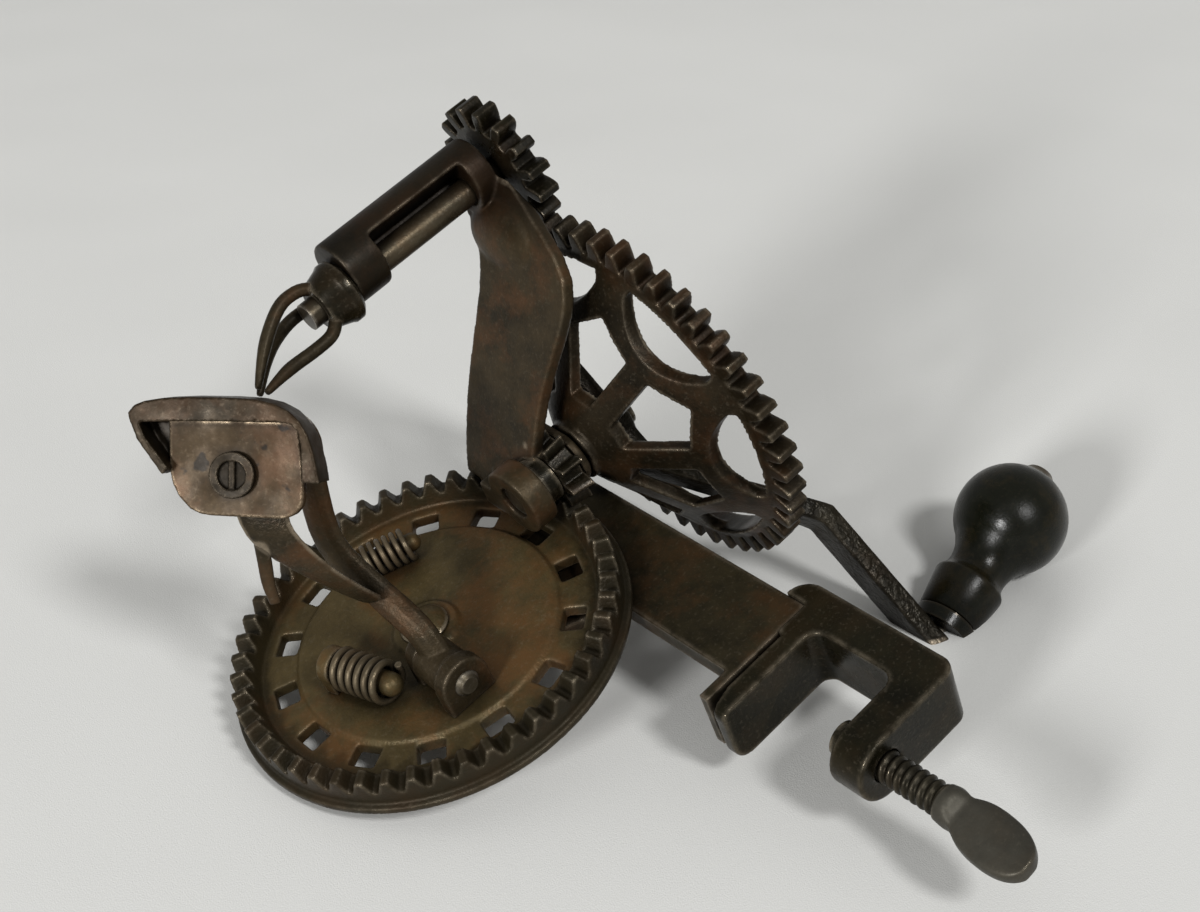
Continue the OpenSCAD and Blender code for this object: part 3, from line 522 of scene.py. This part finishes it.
# The handle's turned knob: a foot that widens, a round shoulder, a hollow neck and a ball
KNOB = next(j for j in frame["joints"] if j["name"] == "knob_spin")
KNOB_AXIS = Vector(KNOB["axis"]).normalized()
KNOB_AT = Vector(KNOB["pos_m"])
KNOB_LOW = min((v.co - KNOB_AT).dot(KNOB_AXIS) for v in nodes["handle_knob"].data.vertices)
BORE_R = 3.56
BALL_R = 17.0
BALL_Z = 38.0
KNOB_TOP = 53.5
FOOT = [(BORE_R, 0.0), (8.9, 0.0), (9.4, 0.5)]
NECK = [(10.9, 12.2), (10.8, 13.1), (10.0, 14.2), (9.25, 15.6), (9.0, 17.4), (9.25, 19.8), (10.1, 22.6),
        (11.9, 25.86)]
NECK_STEPS = 4
BALL_STEPS = 22
KNOB_SIDES = 72
low_turn = math.asin((NECK[-1][1] - BALL_Z) / BALL_R)
high_turn = math.asin((KNOB_TOP - BALL_Z) / BALL_R)
profile = FOOT + curve(NECK, NECK_STEPS)
for i in range(1, BALL_STEPS + 1):
    turn = low_turn + (high_turn - low_turn) * i / BALL_STEPS
    profile.append((BALL_R * math.cos(turn), BALL_Z + BALL_R * math.sin(turn)))
profile.append((BORE_R, KNOB_TOP))
side_1 = KNOB_AXIS.orthogonal().normalized()
side_2 = KNOB_AXIS.cross(side_1)
knob_rings = [[KNOB_AT + KNOB_AXIS * (KNOB_LOW + z * MM) + (side_1 * c + side_2 * s) * (r * MM)
               for c, s in circle(KNOB_SIDES)] for r, z in profile]
piece("turned_knob", skin(knob_rings, joined=True), BLACK, "knob", "black_wood", "handle_knob")

# The clamp screw's wing: a round collar that flattens into an oval thumb plate
WING_LEN = 31.0
WING_R = 7.5
WING_T = 2.3
WING_TURN = math.radians(4.0)
WING_OFF = 1.5
WING_ROWS = 44
WING_SIDES = 40
OVAL_MID = 18.7
OVAL_HALF = 12.3
OVAL_POWER = 2.3
COLLAR_TOP = 2.4
COLLAR_R = 4.7
COLLAR_END = 4.6
COLLAR_FLARE = 0.15
PLATE_START = 8.8
PLATE_THINNER = 0.6
NECK_NARROWER = 0.12
BLEND_POWER = 8
TIP_HALF = 0.4
screw_low, screw_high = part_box("clamp_screw")
wing_top = (screw_low + screw_high) / 2
wing_top.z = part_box("screw_wing")[1].z
wing_across = Vector((math.cos(WING_TURN), -math.sin(WING_TURN), 0.0))
wing_through = Vector((-math.sin(WING_TURN), -math.cos(WING_TURN), 0.0))


def wing_ring(z):
    """A ring of the wing at this depth below its top: round at the collar, flat in the plate."""
    flat = min(1.0, max(0.0, (z - COLLAR_END) / (PLATE_START - COLLAR_END)))
    flat = flat * flat * (3 - 2 * flat)
    collar = COLLAR_R + COLLAR_FLARE * min(z, COLLAR_END)
    oval = WING_R * max(0.0, 1 - abs((z - OVAL_MID) / OVAL_HALF) ** OVAL_POWER) ** (1 / OVAL_POWER)
    neck = collar * (1 - NECK_NARROWER * flat) if z < OVAL_MID else 0.0
    half = max(TIP_HALF, (neck ** BLEND_POWER + oval ** BLEND_POWER) ** (1 / BLEND_POWER))
    thick = min(half, collar + (WING_T - COLLAR_R - PLATE_THINNER) * flat)
    shift = WING_OFF * max(0.0, z - COLLAR_END) / (OVAL_MID - COLLAR_END)
    bend = 1 / (1 + flat)
    ring = []
    for c, s in circle(WING_SIDES):
        x = math.copysign(abs(c) ** bend, c) * half - shift
        y = math.copysign(abs(s) ** bend, s) * thick
        ring.append(wing_top + (wing_across * x + wing_through * y) * MM - Vector((0.0, 0.0, z * MM)))
    return ring


wing_rings = []
for i in range(WING_ROWS + 1):
    share = math.sin(math.pi / 2 * i / WING_ROWS)
    wing_rings.append(wing_ring(COLLAR_TOP + (WING_LEN - COLLAR_TOP) * share))
piece("thumb_wing", skin(wing_rings), GREY, "screw", "steel", "screw_wing")

# The clamp screw with its thread, from the pad's neck down to the wing, on the part's own upright axis
SCREW_R = 4.5 * MM
SCREW_ROOT = 3.75 * MM
THREAD = 2.5 * MM
NECK_R = 3.0 * MM
NECK_TOP = -24.8 * MM
SCREW_TOP = -27.3 * MM
SCREW_END = -57.6 * MM
SCREW_ROWS = 152
SCREW_SIDES = 40
RIDGE_SLOPE = 1.7
RIDGE_START = 0.3


def thread_radius(z, angle):
    """The screw's radius at a height and an angle: a ridge with a flat top that climbs once a turn."""
    phase = (z / THREAD - angle / math.tau) % 1.0
    ridge = 1.0 - abs(2 * phase - 1.0)
    return SCREW_ROOT + (SCREW_R - SCREW_ROOT) * min(1.0, max(0.0, RIDGE_SLOPE * ridge - RIDGE_START))


def neck_radius(z, angle):
    return NECK_R


def screw_ring(z, radius):
    """A ring of the screw at a height, with a radius given by a function."""
    ring = []
    for j in range(SCREW_SIDES):
        angle = math.tau * j / SCREW_SIDES
        r = radius(z, angle)
        ring.append(Vector((r * math.cos(angle), r * math.sin(angle), z)))
    return ring


screw_rings = [screw_ring(NECK_TOP, neck_radius), screw_ring(SCREW_TOP, neck_radius)]
for i in range(SCREW_ROWS + 1):
    screw_rings.append(screw_ring(SCREW_TOP + (SCREW_END - SCREW_TOP) * i / SCREW_ROWS, thread_radius))
screw_rings.reverse()
piece("threaded_screw", skin(screw_rings), THREAD_STEEL, "screw", "steel", "clamp_screw")

# The springs on the turntable's raised middle: round wire that follows the solids' own coils
MID_H = 5.0
SPRING_SEAT = 0.5
SPRING_START = 0.3
SPRING_STEPS = 32
END_STEPS = 3
END_RUN = 0.66


def spring(name, a, b, axis, across, radius, wire, turns, pitch):
    """A coil along an axis from a place on the turntable, with a short straight stretch at each end."""
    origin = at(a, b, MID_H + radius + wire + SPRING_SEAT)
    other = axis.cross(across)
    last = SPRING_STEPS * turns
    points = []
    for i in range(-END_STEPS, last + END_STEPS + 1):
        step = max(0, min(i, last))
        turn = math.tau * step / SPRING_STEPS
        out = across * math.cos(turn) + other * math.sin(turn)
        ahead = other * math.cos(turn) - across * math.sin(turn)
        rise = wire + SPRING_START + pitch * step / SPRING_STEPS
        points.append(origin + (out * radius + ahead * (i - step) * wire * END_RUN + axis * rise) * MM)
    piece(name + "_coil", skin(tube(points, wire * MM)), SPRING, "turntable", "steel", name)


LOWER_TURN = math.radians(15.5)
UPPER_TURN = math.radians(-24.0)
spring("spring_lower", -25.5, 4.5,
       axis=Vector((math.sin(LOWER_TURN), 0.0, -math.cos(LOWER_TURN))),
       across=Vector((math.cos(LOWER_TURN), 0.0, math.sin(LOWER_TURN))),
       radius=5.2, wire=1.05, turns=6, pitch=2.8)
spring("spring_upper", 2.0, 31.0,
       axis=Vector((math.cos(UPPER_TURN), 0.0, math.sin(UPPER_TURN))),
       across=Vector((0.0, 1.0, 0.0)),
       radius=4.4, wire=0.85, turns=6, pitch=2.3)

# Stage: a pale cloth behind the part, seen from its front only
CLOTH_COLOUR = rgb(0.69, 0.69, 0.67)
CLOTH_ROUGH = 0.95
CLOTH_SPEC = 0.15
CLOTH_BUMP = (0.35, 0.0012)
WEAVE = (2600.0, 2.0)
WEAVE_HEIGHT = 0.25
FOLDS = (5.0, 2.0, 0.4)
FOLD_HEIGHT = 14.0
CLOTH_H = -21.5
CLOTH_SLOPE = -0.328
REACH = 6000.0


def cloth_material():
    """A fine weave over low folds, clear when seen from behind."""
    t = Tree("pale_cloth")
    folds = t.math("MULTIPLY", t.noise(*FOLDS), FOLD_HEIGHT)
    weave = t.math("MULTIPLY", t.noise(*WEAVE), WEAVE_HEIGHT)
    shader = t.add("ShaderNodeBsdfPrincipled", {
        "Base Color": CLOTH_COLOUR,
        "Roughness": CLOTH_ROUGH,
        "Specular IOR Level": CLOTH_SPEC,
        "Normal": t.bump(t.math("ADD", folds, weave), *CLOTH_BUMP),
    })
    clear = t.add("ShaderNodeBsdfTransparent")
    choose = t.add("ShaderNodeMixShader")
    t.put(choose.inputs[0], t.add("ShaderNodeNewGeometry").outputs["Backfacing"])
    t.put(choose.inputs[1], shader.outputs["BSDF"])
    t.put(choose.inputs[2], clear.outputs["BSDF"])
    t.put(t.out.inputs["Surface"], choose.outputs["Shader"])
    return t.mat


CLOTH_CORNERS = ((-REACH, -REACH), (REACH, -REACH), (REACH, REACH), (-REACH, REACH))
cloth_verts = [tuple(at(a, b, CLOTH_H + CLOTH_SLOPE * a)) for a, b in CLOTH_CORNERS]
cloth_mesh = bpy.data.meshes.new("cloth")
cloth_mesh.from_pydata(cloth_verts, [], [(0, 1, 2, 3)])
cloth_mesh.materials.append(cloth_material())
cloth = bpy.data.objects.new("cloth", cloth_mesh)
scene.collection.objects.link(cloth)

# Light: a pale room and three soft lamps, from the lower left, the upper right and the rear
WORLD_COLOUR = rgb(1.0, 1.0, 0.985)
WORLD_STRENGTH = 0.36
MIDDLE = at(20.0, 0.0, 10.0)
LAMP_DISTANCE = 6.0
world = bpy.data.worlds.new("pale_room")
world.use_nodes = True
background = world.node_tree.nodes["Background"]
background.inputs["Color"].default_value = WORLD_COLOUR
background.inputs["Strength"].default_value = WORLD_STRENGTH
scene.world = world


def lamp(name, right, up, out, size, watts):
    """A round soft lamp that shines on the part from a direction of the camera's view."""
    towards = (RIGHT * right - DOWN * up - FORWARD * out).normalized()
    data = bpy.data.lights.new(name, "AREA")
    data.shape = "DISK"
    data.size = size
    data.energy = watts
    obj = bpy.data.objects.new(name, data)
    obj.location = MIDDLE + towards * LAMP_DISTANCE
    obj.rotation_mode = "QUATERNION"
    obj.rotation_quaternion = (-towards).to_track_quat("-Z", "Y")
    scene.collection.objects.link(obj)


lamp("left_lamp", right=-0.50, up=-0.14, out=0.85, size=1.15, watts=269.0)
lamp("right_lamp", right=0.36, up=0.30, out=0.88, size=1.05, watts=181.0)
lamp("rear_lamp", right=0.30, up=0.25, out=-0.90, size=2.0, watts=400.0)

# Camera
camera_data = bpy.data.cameras.new("camera")
camera_data.lens = LENS
camera_data.sensor_width = SENSOR
camera_data.clip_start = CLIP_START
camera = bpy.data.objects.new("camera", camera_data)
axes = Matrix((RIGHT, -DOWN, -FORWARD)).transposed()
camera.matrix_world = Matrix.Translation(CAMERA_AT) @ axes.to_4x4()
scene.collection.objects.link(camera)
scene.camera = camera
scene.view_settings.view_transform = "Standard"
